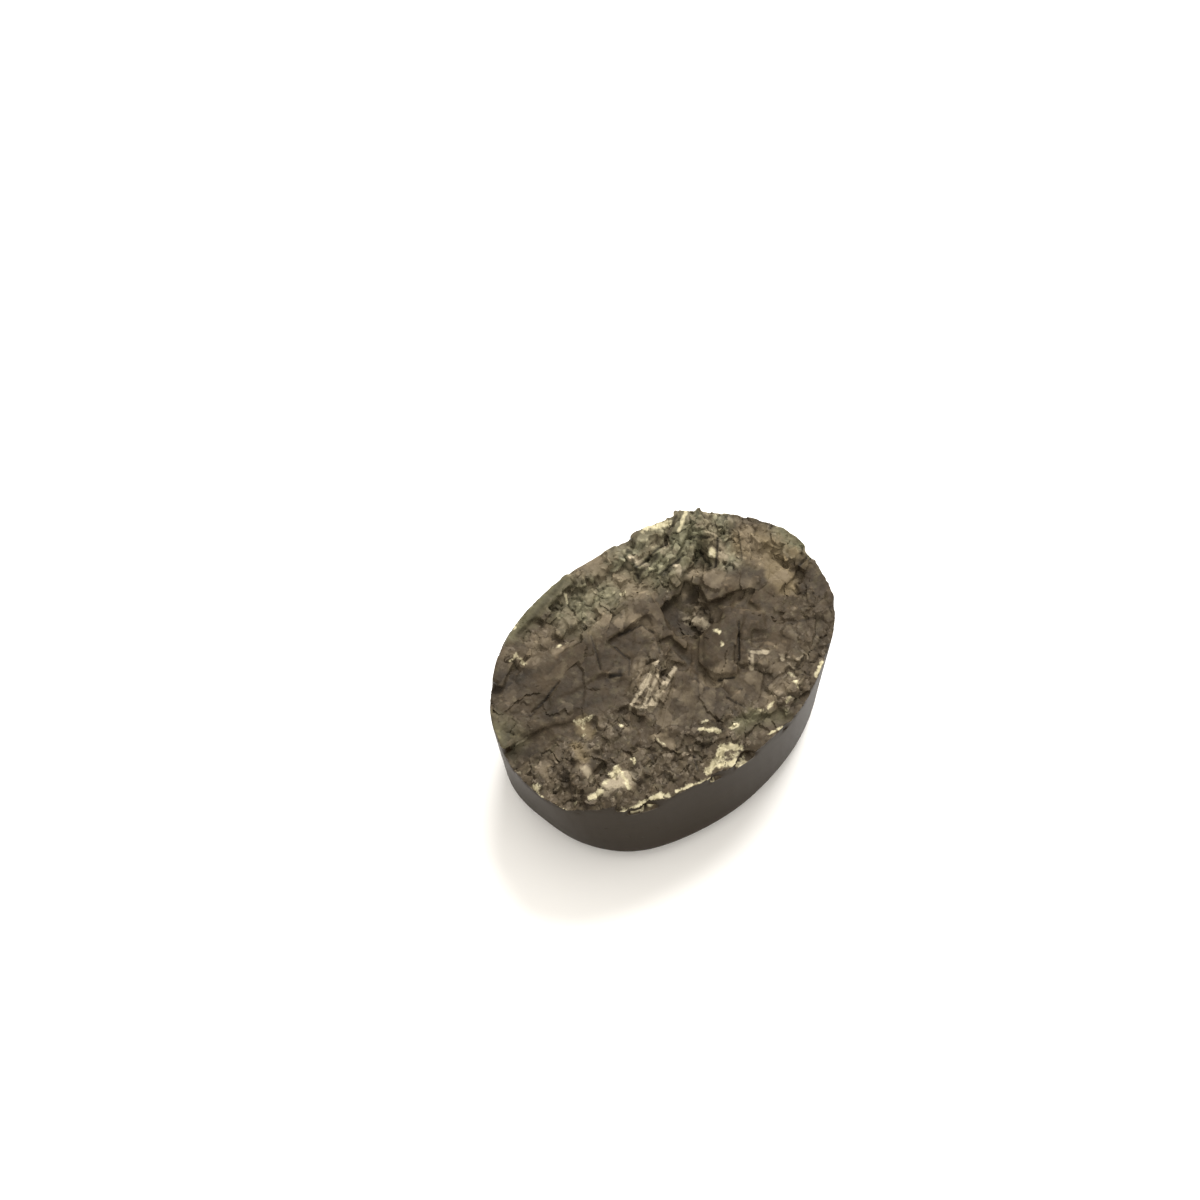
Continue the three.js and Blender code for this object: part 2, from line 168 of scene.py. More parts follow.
faceZones = {
    # where small crystals crowd the face
    "grains": [
        (-1.2, 4.5, 1.6, 4.5, 1.2, 0.8),
        (2.6, 4.0, 5.4, 4.2, 1.2, 1.0),
        (6.6, 3.9, 6.6, 2.7, 1.1, 0.9),
        (4.2, 2.2, 5.6, 1.6, 0.4, 0.6),
        (8.1, 1.4, 8.2, 0.3, 0.8, 0.7),
        (7.2, 2.2, 6.8, 0.2, 0.9, 0.25),
        (-5.0, 4.4, -2.0, 4.9, 0.9, 0.5),
        (-7.9, -0.6, -7.7, -2.2, 1.0, 0.7),
        (-6.6, -0.8, -4.2, -1.2, 0.9, 0.6),
        (-6.4, -3.1, -2.2, -4.4, 1.5, 0.65),
        (-2.0, -4.9, 0.9, -4.9, 1.0, 0.65),
        (3.2, -4.9, 5.3, -4.2, 0.8, 0.7),
        (6.4, -3.9, 6.4, -2.3, 1.2, 0.3),
        (-2.0, -1.0, -0.4, -0.2, 0.8, 0.7),
        (3.0, 1.2, 3.0, 0.8, 0.5, 1.0),
        (-8.0, 3.2, -7.2, 2.0, 1.0, 0.3),
        (3.4, -3.0, 4.4, -4.0, 0.5, 0.6),
    ],
    # grey-green crystals with dark lines between them
    "crystals": [
        (1.7, 4.9, 4.1, 4.3, 0.7, 1.0),
        (2.7, 3.9, 3.9, 3.7, 0.5, 0.9),
        (4.1, 4.2, 6.2, 4.0, 0.75, 1.0),
        (6.0, 3.7, 5.6, 1.9, 0.5, 1.0),
        (-1.6, 4.6, 1.4, 4.7, 0.8, 0.5),
        (8.2, 1.2, 8.4, 0.3, 0.5, 0.6),
    ],
    # the pit, which keeps more of its depth
    "pit": [
        (2.1, 1.9, 3.1, 0.9, 0.9, 1.0),
        (3.2, 1.8, 4.6, 2.7, 0.5, 0.7),
    ],
    # pale crusts and specks
    "cream": [
        (3.55, 5.55, 4.6, 5.15, 0.24, 0.95),
        (4.75, 4.45, 5.7, 5.0, 0.09, 1.0),
        (5.35, 2.85, 5.35, 2.55, 0.17, 1.0),
        (2.75, -0.45, 2.75, -0.8, 0.12, 0.7),
        (2.5, -1.2, 2.5, -1.35, 0.09, 0.65),
        (5.6, -4.75, 4.9, -5.15, 0.11, 0.9),
        (4.05, -4.3, 3.85, -5.1, 0.12, 0.7),
        (3.0, -5.3, 3.25, -5.25, 0.1, 0.8),
        (1.75, -4.75, 1.9, -4.95, 0.1, 0.8),
        (2.15, -4.95, 2.55, -4.9, 0.09, 0.8),
        (-0.95, -3.8, -0.4, -4.5, 0.12, 0.9),
        (0.1, -4.65, 0.6, -4.75, 0.11, 0.9),
        (-0.65, -3.6, -0.35, -3.65, 0.1, 0.7),
        (1.4, -5.95, 2.3, -6.15, 0.1, 0.9),
        (-2.0, -5.6, -0.75, -5.2, 0.21, 1.0),
        (-0.75, -5.2, -0.05, -5.6, 0.17, 1.0),
        (-1.45, -5.75, -0.3, -6.15, 0.17, 1.0),
        (-1.3, -5.55, -0.4, -5.75, 0.2, 0.6),
        (-6.3, -4.6, -5.45, -4.9, 0.14, 0.9),
        (-5.4, -4.85, -4.2, -5.3, 0.15, 1.0),
        (-3.8, -5.45, -2.0, -5.95, 0.08, 0.9),
        (-7.05, -3.3, -6.6, -3.35, 0.17, 1.0),
        (-6.6, -3.3, -5.75, -3.15, 0.13, 0.7),
        (-5.65, -3.1, -5.2, -3.0, 0.22, 0.9),
        (-5.2, -3.2, -5.45, -4.0, 0.15, 0.7),
        (-8.5, -2.45, -8.15, -3.1, 0.11, 0.8),
        (-7.65, -2.8, -7.65, -2.9, 0.11, 0.8),
        (-8.65, -1.1, -8.75, -1.7, 0.17, 0.8),
        (-4.3, -2.95, -4.4, -3.2, 0.12, 0.9),
        (-5.0, 0.2, -4.35, -0.2, 0.16, 0.65),
        (-4.9, 0.0, -5.1, -0.55, 0.15, 0.65),
        (-2.8, -2.85, -2.65, -3.3, 0.1, 0.6),
        (-3.7, -1.2, -3.65, -1.35, 0.09, 0.8),
        (-5.4, 4.45, -5.0, 4.45, 0.1, 0.8),
        (-5.0, 4.25, -4.95, 3.9, 0.1, 0.8),
        (-3.35, 3.75, -2.7, 3.55, 0.11, 0.7),
        (-1.2, 5.5, -1.4, 5.15, 0.09, 0.7),
        (0.75, 3.9, 0.85, 3.75, 0.09, 0.8),
        (-8.6, 1.85, -8.7, 1.3, 0.1, 0.8),
        (-4.4, 5.5, -3.95, 5.65, 0.09, 0.7),
    ],
    # a net of paler strands and crystals
    "lace": [
        (0.25, -0.6, -0.85, -1.05, 0.13, 0.95),
        (-0.85, -1.05, -2.0, -1.45, 0.14, 0.9),
        (-0.65, -0.1, -1.6, -0.5, 0.13, 0.9),
        (-1.6, -0.5, -2.7, -0.9, 0.12, 0.9),
        (-0.75, -0.55, -2.1, -1.15, 0.08, 0.8),
        (-1.3, -0.4, -1.45, -0.85, 0.08, 0.8),
        (-2.0, -1.45, -2.5, -1.1, 0.13, 0.8),
        (-0.65, -0.1, -0.35, 0.05, 0.14, 0.9),
        (2.2, 4.8, 2.5, 4.2, 0.27, 0.8),
        (3.55, 4.2, 3.65, 3.5, 0.22, 0.7),
        (5.65, 4.45, 5.85, 3.8, 0.22, 0.6),
        (5.85, 3.65, 5.85, 2.8, 0.24, 0.5),
        (5.65, 2.8, 5.85, 1.55, 0.3, 0.5),
        (2.5, 1.25, 2.95, 0.4, 0.27, 0.55),
        (3.9, 4.3, 3.65, 3.0, 0.27, 0.7),
        (-1.0, 4.15, -1.15, 3.6, 0.2, 0.6),
        (-6.45, -3.55, -5.15, -3.5, 0.45, 0.8),
        (-6.4, -1.85, -6.35, -2.45, 0.22, 0.7),
        (6.35, 4.4, 7.45, 2.8, 0.22, 0.5),
        (-2.65, 0.2, -4.4, 0.6, 0.1, 0.4),
        (3.35, -2.4, 3.85, -2.8, 0.14, 0.9),
        (3.25, -2.55, 2.9, -2.95, 0.14, 0.9),
        (4.25, -3.45, 4.3, -4.25, 0.2, 0.45),
    ],
    # tan weathering
    "ochre": [
        (6.8, 2.0, 7.35, 1.05, 0.7, 0.9),
        (7.35, 1.05, 6.9, -0.6, 0.5, 1.0),
        (6.75, 0.05, 6.85, -0.7, 0.35, 1.0),
        (8.05, 0.3, 8.25, -0.4, 0.3, 0.6),
        (-4.9, 0.0, -5.0, -0.6, 0.3, 0.7),
        (-5.85, -0.7, -6.05, -1.5, 0.27, 0.7),
    ],
    # greenish tarnish
    "moss": [
        (0.5, -4.8, 1.4, -4.9, 0.35, 0.7),
        (1.8, -5.3, 2.5, -5.7, 0.3, 0.5),
        (8.4, 1.1, 8.6, 0.3, 0.5, 0.8),
        (-4.6, 5.5, -0.8, 6.0, 0.45, 0.7),
        (-8.5, 3.0, -8.0, 1.6, 0.7, 0.6),
        (-1.2, 4.5, 1.6, 4.5, 1.1, 0.5),
        (2.8, 4.0, 5.6, 3.8, 1.2, 0.6),
        (4.8, 2.9, 5.2, 2.15, 0.3, 0.9),
    ],
    # sunk and shaded places
    "shade": [
        (2.15, 2.4, 1.8, 0.8, 0.37, 0.4),
        (1.75, 0.75, 2.45, 0.5, 0.3, 0.3),
        (-6.9, 3.8, -5.15, 3.55, 0.35, 0.75),
        (-5.15, 3.55, -4.25, 2.95, 0.26, 0.4),
        (-5.9, 1.3, -3.2, 0.3, 0.3, 0.45),
        (-5.4, 2.1, -3.6, 1.6, 0.3, 0.35),
        (-7.7, 1.8, -8.2, 1, 0.28, 0.6),
        (-8.2, 1, -7.3, 0.2, 0.3, 0.6),
        (-7.3, 0.2, -7.55, -0.4, 0.21, 0.5),
        (0.65, -0.1, 1.05, -0.7, 0.23, 0.6),
        (1.05, -0.7, 1.5, -1.95, 0.26, 0.4),
        (-2.3, 3.15, -2.25, 1.95, 0.37, 0.4),
        (-0.6, 1.55, -0.3, 0.45, 0.39, 0.35),
        (3.65, -0.7, 2.1, -2.55, 0.19, 0.4),
        (3.95, -1.7, 4.6, -2, 0.26, 0.3),
        (4.65, -0.1, 6.15, 0.1, 0.15, 0.6),
        (5.15, -0.5, 5.55, -1.1, 0.15, 0.6),
        (7.25, -1.55, 8.5, -0.35, 0.26, 0.4),
        (5.6, -2.35, 6.9, -2.95, 0.1, 0.6),
        (-7.1, -1.4, -7.5, -2.05, 0.17, 0.7),
        (-6.3, -2.3, -5.35, -1.7, 0.16, 0.6),
        (-0.25, -4.05, -0.2, -4.55, 0.14, 0.7),
        (5.1, 5.05, 3.85, 4.5, 0.09, 0.9),
        (3.2, 4.2, 2, 4.1, 0.1, 1),
        (3.95, 3.45, 2.9, 3.35, 0.1, 1),
        (4.7, 3.05, 4.9, 2.05, 0.17, 0.9),
        (5.45, 2.7, 5.1, 2.1, 0.12, 1),
        (8.5, 0, 7.85, -0.5, 0.14, 0.7),
        (-1, 5.9, -4.35, 5.2, 0.12, 0.5),
        (-1.85, 0.8, -2.6, 0.9, 0.1, 0.8),
        (-3.3, 1, -3.4, 1.45, 0.12, 0.5),
        (0.9, -1.35, 0.05, -2.35, 0.1, 0.5),
        (1.8, -3, 1.75, -3.95, 0.1, 0.5),
        (1.5, -2.4, 1.75, -2.85, 0.09, 0.8),
        (-6.45, 1.8, -4.75, 2.2, 0.1, 0.6),
    ],
    # paler places, partly painted light where the face stands up, partly less tarnish
    "pale": [
        (0.55, 6.05, 1.4, 3.65, 0.75, 0.6),
        (-0.75, 3.5, 0.6, 1.95, 0.49, 0.5),
        (4.15, 1.95, 5.5, 0.4, 0.42, 0.5),
        (-4.55, 4.25, -5.55, 4.85, 0.3, 0.4),
        (-3.95, 4.7, -1.85, 4.3, 0.46, 0.35),
        (2.25, -3.2, 0.4, -2.8, 0.52, 0.25),
        (-0.55, -2.3, -2.55, -2.55, 0.46, 0.25),
        (3.95, -4.6, 2.3, -4.7, 0.35, 0.6),
        (3.35, -2.65, 3.9, -3.35, 0.28, 0.4),
        (6.05, 4, 5.55, 2.35, 0.39, 0.6),
        (7.05, 2.5, 6.75, 0.9, 0.35, 0.5),
        (6.7, -0.25, 7.55, -0.5, 0.3, 0.5),
        (2.55, 4.55, 4, 4.85, 0.3, 0.5),
        (-1.25, 0.4, -0.9, -1.35, 0.51, 0.35),
        (-7.8, -0.7, -7.7, -1.5, 0.26, 0.4),
        (-6.4, -1.75, -6.4, -2.45, 0.23, 0.6),
        (-5.4, -3.1, -5.4, -3.95, 0.3, 0.6),
        (-3.5, 3.5, -2.35, 3.4, 0.16, 0.6),
        (-5.15, 4.6, -4.9, 4, 0.16, 0.6),
        (3.45, -3.05, 4, -4.15, 0.28, 0.5),
        (7.2, -1.85, 6.8, -1.2, 0.16, 0.4),
        (-2.7, -2.7, -2.45, -3.5, 0.21, 0.5),
        (-3.65, -1.35, -3.45, -1.65, 0.16, 0.6),
        (1.0, -2.1, 1.5, -2.4, 0.45, 0.6),
        (3.3, 2.4, 4.2, 2.6, 0.4, 0.6),
    ],
    # thin seams, whose dark lines are partly their own and partly painted shadow under step edges
    "seams": [
        (3.85, -0.9, 2.65, -2.35, 0.06, 0.9),
        (1.35, -2.4, 1.9, -2.85, 0.07, 1.0),
        (0.65, -1.75, -0.1, -2.7, 0.05, 0.6),
        (0.1, -1.3, -0.5, -1.95, 0.05, 0.5),
        (1.05, -3.35, 1.35, -4.25, 0.06, 0.9),
        (-2.35, 0.95, -1.95, 0.65, 0.08, 1.0),
        (-1.05, 1.1, -1.7, 0.4, 0.06, 0.7),
        (-6.45, 1.8, -4.4, 2.25, 0.06, 0.9),
        (-0.7, 2.3, 0.45, 2.05, 0.06, 0.9),
        (0.45, 2.05, 0.6, 1.3, 0.06, 0.8),
        (-1.25, 1.95, -1.15, 1.1, 0.07, 0.9),
        (3.4, -1.65, 4.45, -2.4, 0.06, 0.6),
        (5.05, -1.8, 6.7, -2.95, 0.06, 0.5),
        (-2.0, -4.6, -2.4, -5.3, 0.07, 0.9),
        (-1.75, 3.05, -2.2, 2.05, 0.06, 0.8),
        (-2.2, 2.05, -2.5, 1.45, 0.06, 0.8),
        (0.55, 1.1, 0.05, 0.15, 0.06, 0.6),
        (2.2, 4.8, 1.9, 3.8, 0.07, 0.8),
        (6.85, 2.65, 6.15, 1.55, 0.06, 0.7),
        (7.9, -0.45, 8.65, -0.3, 0.07, 0.9),
        (2.1, 4.35, 4.1, 4.5, 0.07, 1.0),
        (2.8, 3.5, 4.3, 3.5, 0.06, 0.9),
        (5.9, 3.0, 5.0, 2.1, 0.08, 1.0),
        (5.1, 3.35, 4.95, 2.35, 0.07, 0.9),
        (6.1, 4.35, 6.2, 3.55, 0.06, 0.8),
        (5.05, 4.05, 5.75, 3.15, 0.06, 0.9),
    ],
    # steps that hardly show, so they are evened out
    "evened": [
        (2.0, -0.15, 0.25, -2.2, 0.32, 1.0),
        (4.5, -0.1, 3.9, -0.85, 0.3, 0.8),
        (4.2, -1.5, 3.6, -2.1, 0.35, 0.8),
        (-1.95, 2.25, -0.2, 0.95, 0.28, 1.0),
        (-8.7, 0.9, -7.6, 0.3, 0.4, 0.8),
    ],
    # the fan of fine straight lines
    "fan": [
        (-0.4, -1.1, -2.0, -2.45, 0.7, 1.0),
        (0.35, -1.45, -1.35, -3.85, 0.7, 0.8),
    ],
}


# How far each place lies inside the strokes, from 0 to 1
def zoneStrength(places, rows, edge=0.6):
    total = np.zeros(len(places))
    for x1, y1, x2, y2, halfWidth, strength in rows:
        dx, dy = x2 - x1, y2 - y1
        along = ((places[:, 0] - x1) * dx + (places[:, 1] - y1) * dy) / (dx * dx + dy * dy + 1e-9)
        along = np.clip(along, 0, 1)
        away = np.hypot(places[:, 0] - x1 - along * dx, places[:, 1] - y1 - along * dy)
        inside = np.clip((1 + edge / 2 - away / halfWidth) / edge, 0, 1)
        total = np.maximum(total, inside * strength)
    return total


# The zones that colour the face; the other two only shape it
colourZones = [zone for zone in faceZones if zone not in ("pit", "evened")]


# The ground side and the natural face

stoneForm = {
    "rimHeight": 6.3,
    "mergeWithin": 0.0005,  # mm, corners of the solid nearer than this become one
    "firstVoxel": 0.1,  # mm, for the form before the grains
    "voxel": 0.072,  # mm, for the finished form
    "mostFaces": 190000,
    "grainReach": 0.95,  # share of the radius past which no grain is strewn
    "grainSize": ((0.28, 0.28, 0.4), (0.75, 0.6, 0.6)),  # smallest and largest, with the depth last
    "grainSunk": 0.36,  # how deep a grain's middle lies, as a share of its depth
    "grainUneven": 0.14,  # how far its corners stray, as a share of its size
    "grainTilt": 20,  # degrees
    "grainSpacing": 0.44,  # mm at least
    "grainCrowd": 9,  # grains to a square mm at most
    "crackSteps": 4,  # cracks up to twice this many voxels wide are filled
    "crackFill": 1.0,  # share of a crack's depth that is filled
    "evenSteps": 115,  # how widely the face is evened out to find its steps
    "stepKept": 0.06,  # mm, steps keep this and the next share of the rest
    "stepShare": 0.28,
    "pitKept": 0.35,  # how much less the pit is filled than the rest
    "pitFloor": 5.35,  # mm above the table, below it the pit keeps only the next share of its depth
    "pitBelow": 0.3,
    "looseGrain": 0.18,  # how strongly the flats break into small facets too
    "seamDepth": 0.07,  # mm
    "seamEdge": 1.0,  # how softly a seam sets in, and a colour, as shares of half their width
    "colourEdge": 1.4,
    "reliefSteps": 40,  # how widely the surroundings count for the painted shade in the hollows
    "sharpFrom": 30,  # degrees, flatter edges are shaded smooth
}

# What belongs to the ground side; depths are in mm below the rim, shares are of the rim's radius
groundForm = {
    "outlineDepths": (0.2, 0.5),  # where the rim's outline is read
    "outlineReach": 3.5,  # degrees to either side
    "allFrom": 2.0,  # deeper than this all is ground
    "allBlend": 0.2,  # mm over which that sets in
    "sideShare": 0.955,  # the side starts at this share
    "sideShareLess": 0.08,  # and further down at a share less by this,
    "lessFrom": 0.5,  # from this depth on
    "lessOver": 0.8,  # and in full this much deeper
    "flattest": 0.42,  # upward part of the normal past which it is the natural face
    "sideTop": 0.1,  # nearer the top than this nothing is side
    "trimDepth": 0.9,  # from here up, what stands out past the rim is brought back
    "bevelShare": 0.015,  # how much narrower the bevel is at its top edge
    "bevelDrop": 0.25,
    "faceShare": 0.99,  # the broken face ends here
    "faceFade": 0.025,
    "smoothSteps": 60,
    "smoothFactor": 0.5,
}

# Broken facets in three sizes: turn and tilt are in degrees, cell, step, slip and gap in mm, warp in cells;
# slip moves them sideways, and lined ones keep how near their edge is
fractures = [
    {"name": "slab", "metric": "EUCLIDEAN", "zone": "slabs", "cell": 1.3, "stretch": 1.6, "turn": 35,
     "tilt": 4, "step": 0.07, "slip": 0.14, "gap": 0.0, "warp": 0.6, "lined": False},
    {"name": "crystal", "metric": "CHEBYCHEV", "zone": "grains", "cell": 0.6, "stretch": 1.25, "turn": 20,
     "tilt": 13, "step": 0.15, "slip": 0.08, "gap": 0.05, "warp": 0.35, "lined": True},
    {"name": "grain", "metric": "CHEBYCHEV", "zone": "grains", "cell": 0.29, "stretch": 1.15, "turn": 65,
     "tilt": 10, "step": 0.05, "slip": 0.0, "gap": 0.01, "warp": 0.35, "lined": False},
]
facetWobble = 0.9  # how often the facets' edges bend in a cell
facetMix = 0.95  # how uneven the cells are, from 0 to 1
grooveReach = 0.14  # how far a groove reaches in from the edge, in cells


# Radius of the widest ring of the ground side at each whole degree, in mm
def rimOutline(thing):
    places = placesOf(thing)
    top = stoneForm["rimHeight"]
    near, far = groundForm["outlineDepths"]
    band = places[(places[:, 2] > top - far) & (places[:, 2] < top - near)]
    angle = np.degrees(np.arctan2(band[:, 1], band[:, 0]))
    radius = np.hypot(band[:, 0], band[:, 1])
    wholeDegrees = np.arange(-180, 181)
    widest = []
    for degree in wholeDegrees:
        apart = np.abs((angle - degree + 180) % 360 - 180)
        widest.append(radius[apart < groundForm["outlineReach"]].max())
    return wholeDegrees, np.array(widest)


# Distance from the axis as a share of the rim's radius
def radialShare(places, outline):
    angle = np.degrees(np.arctan2(places[:, 1], places[:, 0]))
    return np.hypot(places[:, 0], places[:, 1]) / np.interp(angle, *outline)


# 1 on the ground side and base, 0 on the natural face
def groundShare(thing, outline):
    places, normals = placesOf(thing), normalsOf(thing)
    share = radialShare(places, outline)
    top = stoneForm["rimHeight"]
    low = np.clip((top - groundForm["allFrom"] - places[:, 2]) / groundForm["allBlend"], 0, 1)
    less = np.clip((top - groundForm["lessFrom"] - places[:, 2]) / groundForm["lessOver"], 0, 1)
    outer = share > groundForm["sideShare"] - groundForm["sideShareLess"] * less
    steep = normals[:, 2] < groundForm["flattest"]
    side = outer & steep & (places[:, 2] < top - groundForm["sideTop"])
    return np.maximum(low, side.astype(float))


# Brings back what stands out past the ground side and its bevel
def trimToRim(thing, outline):
    places = placesOf(thing)
    share = radialShare(places, outline)
    top, drop = stoneForm["rimHeight"], groundForm["bevelDrop"]
    above = places[:, 2] > top - groundForm["trimDepth"]
    limit = 1.0 - groundForm["bevelShare"] * np.clip((places[:, 2] - top + drop) / drop, 0, 1)
    pull = np.where(above & (share > limit), limit / share, 1.0)
    places[:, :2] *= pull[:, None]
    putPlaces(thing, places)


# One small crystal, an uneven cube that is mostly sunk in the rock
def makeGrain():
    bpy.ops.mesh.primitive_cube_add(size=1, location=(0, 0, -stoneForm["grainSunk"]))
    grain = bpy.context.object
    bpy.ops.object.transform_apply(location=True)
    bpy.ops.object.mode_set(mode="EDIT")
    bpy.ops.mesh.select_all(action="SELECT")
    bpy.ops.transform.vertex_random(offset=stoneForm["grainUneven"], seed=4)
    bpy.ops.object.mode_set(mode="OBJECT")
    return grain


# A node group that takes a mesh in and gives one out
def meshGroup(name):
    group = bpy.data.node_groups.new(name, "GeometryNodeTree")
    group.interface.new_socket("Geometry", in_out="INPUT", socket_type="NodeSocketGeometry")
    group.interface.new_socket("Geometry", in_out="OUTPUT", socket_type="NodeSocketGeometry")
    return group, addNode(group, "NodeGroupInput")


# The skin is replaced by small crystals, thickest where the zone grains is strong
def strewGrains(skin, grain):
    group, entry = meshGroup("grownGrains")
    crowding = addNode(group, "GeometryNodeInputNamedAttribute", {"data_type": "FLOAT", "Name": "grains"})
    spread = {
        "distribute_method": "POISSON",
        "Distance Min": stoneForm["grainSpacing"] * mm,
        "Density Max": stoneForm["grainCrowd"] / mm ** 2,
        "Seed": 3,
    }
    points = addNode(
        group, "GeometryNodeDistributePointsOnFaces", spread, {"Mesh": entry, "Density Factor": crowding}
    )
    shape = addNode(group, "GeometryNodeObjectInfo", {"Object": grain, "As Instance": True})
    tilt = math.radians(stoneForm["grainTilt"])
    turned = addNode(
        group,
        "FunctionNodeRandomValue",
        {"data_type": "FLOAT_VECTOR", 0: (-tilt, -tilt, 0), 1: (tilt, tilt, math.tau)},
    )
    smallest, largest = ([size * mm for size in sizes] for sizes in stoneForm["grainSize"])
    sized = addNode(
        group, "FunctionNodeRandomValue", {"data_type": "FLOAT_VECTOR", 0: smallest, 1: largest, "Seed": 8}
    )
    copies = addNode(
        group,
        "GeometryNodeInstanceOnPoints",
        links={
            "Points": points,
            "Instance": shape.outputs["Geometry"],
            "Rotation": turned,
            "Scale": sized,
        },
    )
    solid = addNode(group, "GeometryNodeRealizeInstances", links={0: copies})
    addNode(group, "NodeGroupOutput", links={0: solid})
    applyModifier(skin, "NODES", node_group=group)


# Places counted in cells of a layer, turned and stretched
def cellPlaces(group, layer):
    cell = layer["cell"] * mm
    place = addNode(group, "GeometryNodeInputPosition")
    turned = addNode(
        group,
        "ShaderNodeVectorRotate",
        {"rotation_type": "Z_AXIS", "Angle": math.radians(-layer["turn"])},
        {"Vector": place},
    )
    shrink = (1 / cell / layer["stretch"], 1 / cell, 1 / cell)
    return addNode(group, "ShaderNodeVectorMath", {"operation": "MULTIPLY", 1: shrink}, {0: turned})


# A broken pattern with wobbly cells, and each place's height on the slope of its own cell
def slopingCells(tree, cells, pattern, wobble, warp, steepest):
    noise = addNode(tree, "ShaderNodeTexNoise", {"Scale": wobble, "Detail": 2}, {"Vector": cells})
    wobbled = addNode(
        tree,
        "ShaderNodeVectorMath",
        {"operation": "MULTIPLY_ADD", 1: (warp * 2,) * 3},
        {0: noise.outputs["Color"], 2: cells},
    )
    broken = addNode(tree, "ShaderNodeTexVoronoi", {"feature": "F1"} | pattern, {"Vector": wobbled})
    fromMiddle = addNode(
        tree, "ShaderNodeVectorMath", {"operation": "SUBTRACT"}, {0: wobbled, 1: broken.outputs["Position"]}
    )
    lean = addNode(
        tree,
        "ShaderNodeVectorMath",
        {"operation": "MULTIPLY_ADD", 1: steepest, 2: [-part / 2 for part in steepest]},
        {0: broken.outputs["Color"]},
    )
    height = addNode(tree, "ShaderNodeVectorMath", {"operation": "DOT_PRODUCT"}, {0: fromMiddle, 1: lean})
    return wobbled, broken, height.outputs["Value"]


# How far each place lies from the edge of its cell
def fromEdge(group, wobbled, broken, pattern):
    second = addNode(group, "ShaderNodeTexVoronoi", {"feature": "F2"} | pattern, {"Vector": wobbled})
    return addNode(
        group,
        "ShaderNodeMath",
        {"operation": "SUBTRACT"},
        {0: second.outputs["Distance"], 1: broken.outputs["Distance"]},
    )


# How far each place moves: lifted by chance, sloped, grooved along the edge and slipped sideways
def facetMove(group, layer, broken, height, inward):
    step, slip = layer["step"] * mm, layer["slip"] * mm
    chance = addNode(group, "ShaderNodeSeparateXYZ", links={0: broken.outputs["Color"]})
    lifted = addNode(
        group, "ShaderNodeMath", {"operation": "MULTIPLY_ADD", 1: step}, {0: chance.outputs[2], 2: height}
    )
    groove = addNode(
        group,
        "ShaderNodeMapRange",
        {"From Max": grooveReach, "To Min": -layer["gap"] * mm, "To Max": 0},
        {"Value": inward},
    )
    grooved = addNode(group, "ShaderNodeMath", {"operation": "ADD"}, {0: lifted, 1: groove})
    centred = addNode(group, "ShaderNodeMath", {"operation": "SUBTRACT", 1: step / 2}, {0: grooved})
    aside = addNode(
        group,
        "ShaderNodeVectorMath",
        {"operation": "MULTIPLY_ADD", 1: (slip, slip, 0), 2: (-slip / 2, -slip / 2, 0)},
        {0: broken.outputs["Color"]},
    )
    upward = addNode(group, "ShaderNodeCombineXYZ", links={2: centred})
    return addNode(group, "ShaderNodeVectorMath", {"operation": "ADD"}, {0: upward, 1: aside})


# Breaks the mesh into a layer's facets where its zone is strong, and keeps each cell's chance colour
def fractureLayer(group, mesh, layer):
    pattern = {"distance": layer["metric"], "Scale": 1, "Randomness": facetMix}
    cell, slope = layer["cell"] * mm, math.tan(math.radians(layer["tilt"]))
    steepest = (2 * slope * cell * layer["stretch"], 2 * slope * cell, 0)
    cells = cellPlaces(group, layer)
    wobbled, broken, height = slopingCells(group, cells, pattern, facetWobble, layer["warp"], steepest)
    inward = fromEdge(group, wobbled, broken, pattern)
    move = facetMove(group, layer, broken, height, inward)
    zone = addNode(group, "GeometryNodeInputNamedAttribute", {"data_type": "FLOAT", "Name": layer["zone"]})
    kept = addNode(group, "ShaderNodeVectorMath", {"operation": "SCALE"}, {0: move, "Scale": zone})
    marked = addNode(
        group,
        "GeometryNodeStoreNamedAttribute",
        {"data_type": "FLOAT_VECTOR", "domain": "POINT", "Name": layer["name"]},
        {"Geometry": mesh, "Value": broken.outputs["Color"]},
    )
    if layer["lined"]:
        marked = addNode(
            group,
            "GeometryNodeStoreNamedAttribute",
            {"data_type": "FLOAT", "domain": "POINT", "Name": layer["name"] + "Edge"},
            {"Geometry": marked, "Value": inward},
        )
    return addNode(group, "GeometryNodeSetPosition", links={"Geometry": marked, "Offset": kept})


# 1 over the natural face, falling to 0 just inside the rim
def faceShare(places, outline):
    share = radialShare(places, outline)
    return np.clip((groundForm["faceShare"] - share) / groundForm["faceFade"], 0, 1)


# Narrow cracks are filled with crust: heights spread from the higher side, then sink back
def fillCracks(stone, outline):
    places = placesOf(stone)
    first, second = edgeEnds(stone)
    level = places[:, 2].copy()
    for pick in (np.maximum, np.minimum):
        for _ in range(stoneForm["crackSteps"]):
            before = level.copy()
            pick.at(level, first, before[second])
            pick.at(level, second, before[first])
    places[:, 2] += (level - places[:, 2]) * stoneForm["crackFill"] * (1 - groundShare(stone, outline))
    putPlaces(stone, places)


# Steps lie partly buried in crust, the pit least
def buryFace(stone, outline):
    places = placesOf(stone)
    natural = 1 - groundShare(stone, outline)
    over = heightOver(stone, stoneForm["evenSteps"], natural > 0.5)
    stepped = 1 - zoneStrength(places, faceZones["evened"])
    kept, share = stoneForm["stepKept"] * stepped, stoneForm["stepShare"] * stepped
    buried = np.sign(over) * np.maximum(np.abs(over) - kept, 0) * (1 - share)
    spared = 1 - stoneForm["pitKept"] * zoneStrength(places, faceZones["pit"])
    places[:, 2] -= buried * spared * natural
    deep = np.maximum(stoneForm["pitFloor"] - places[:, 2], 0) * natural
    places[:, 2] += deep * (1 - stoneForm["pitBelow"])
    putPlaces(stone, places)


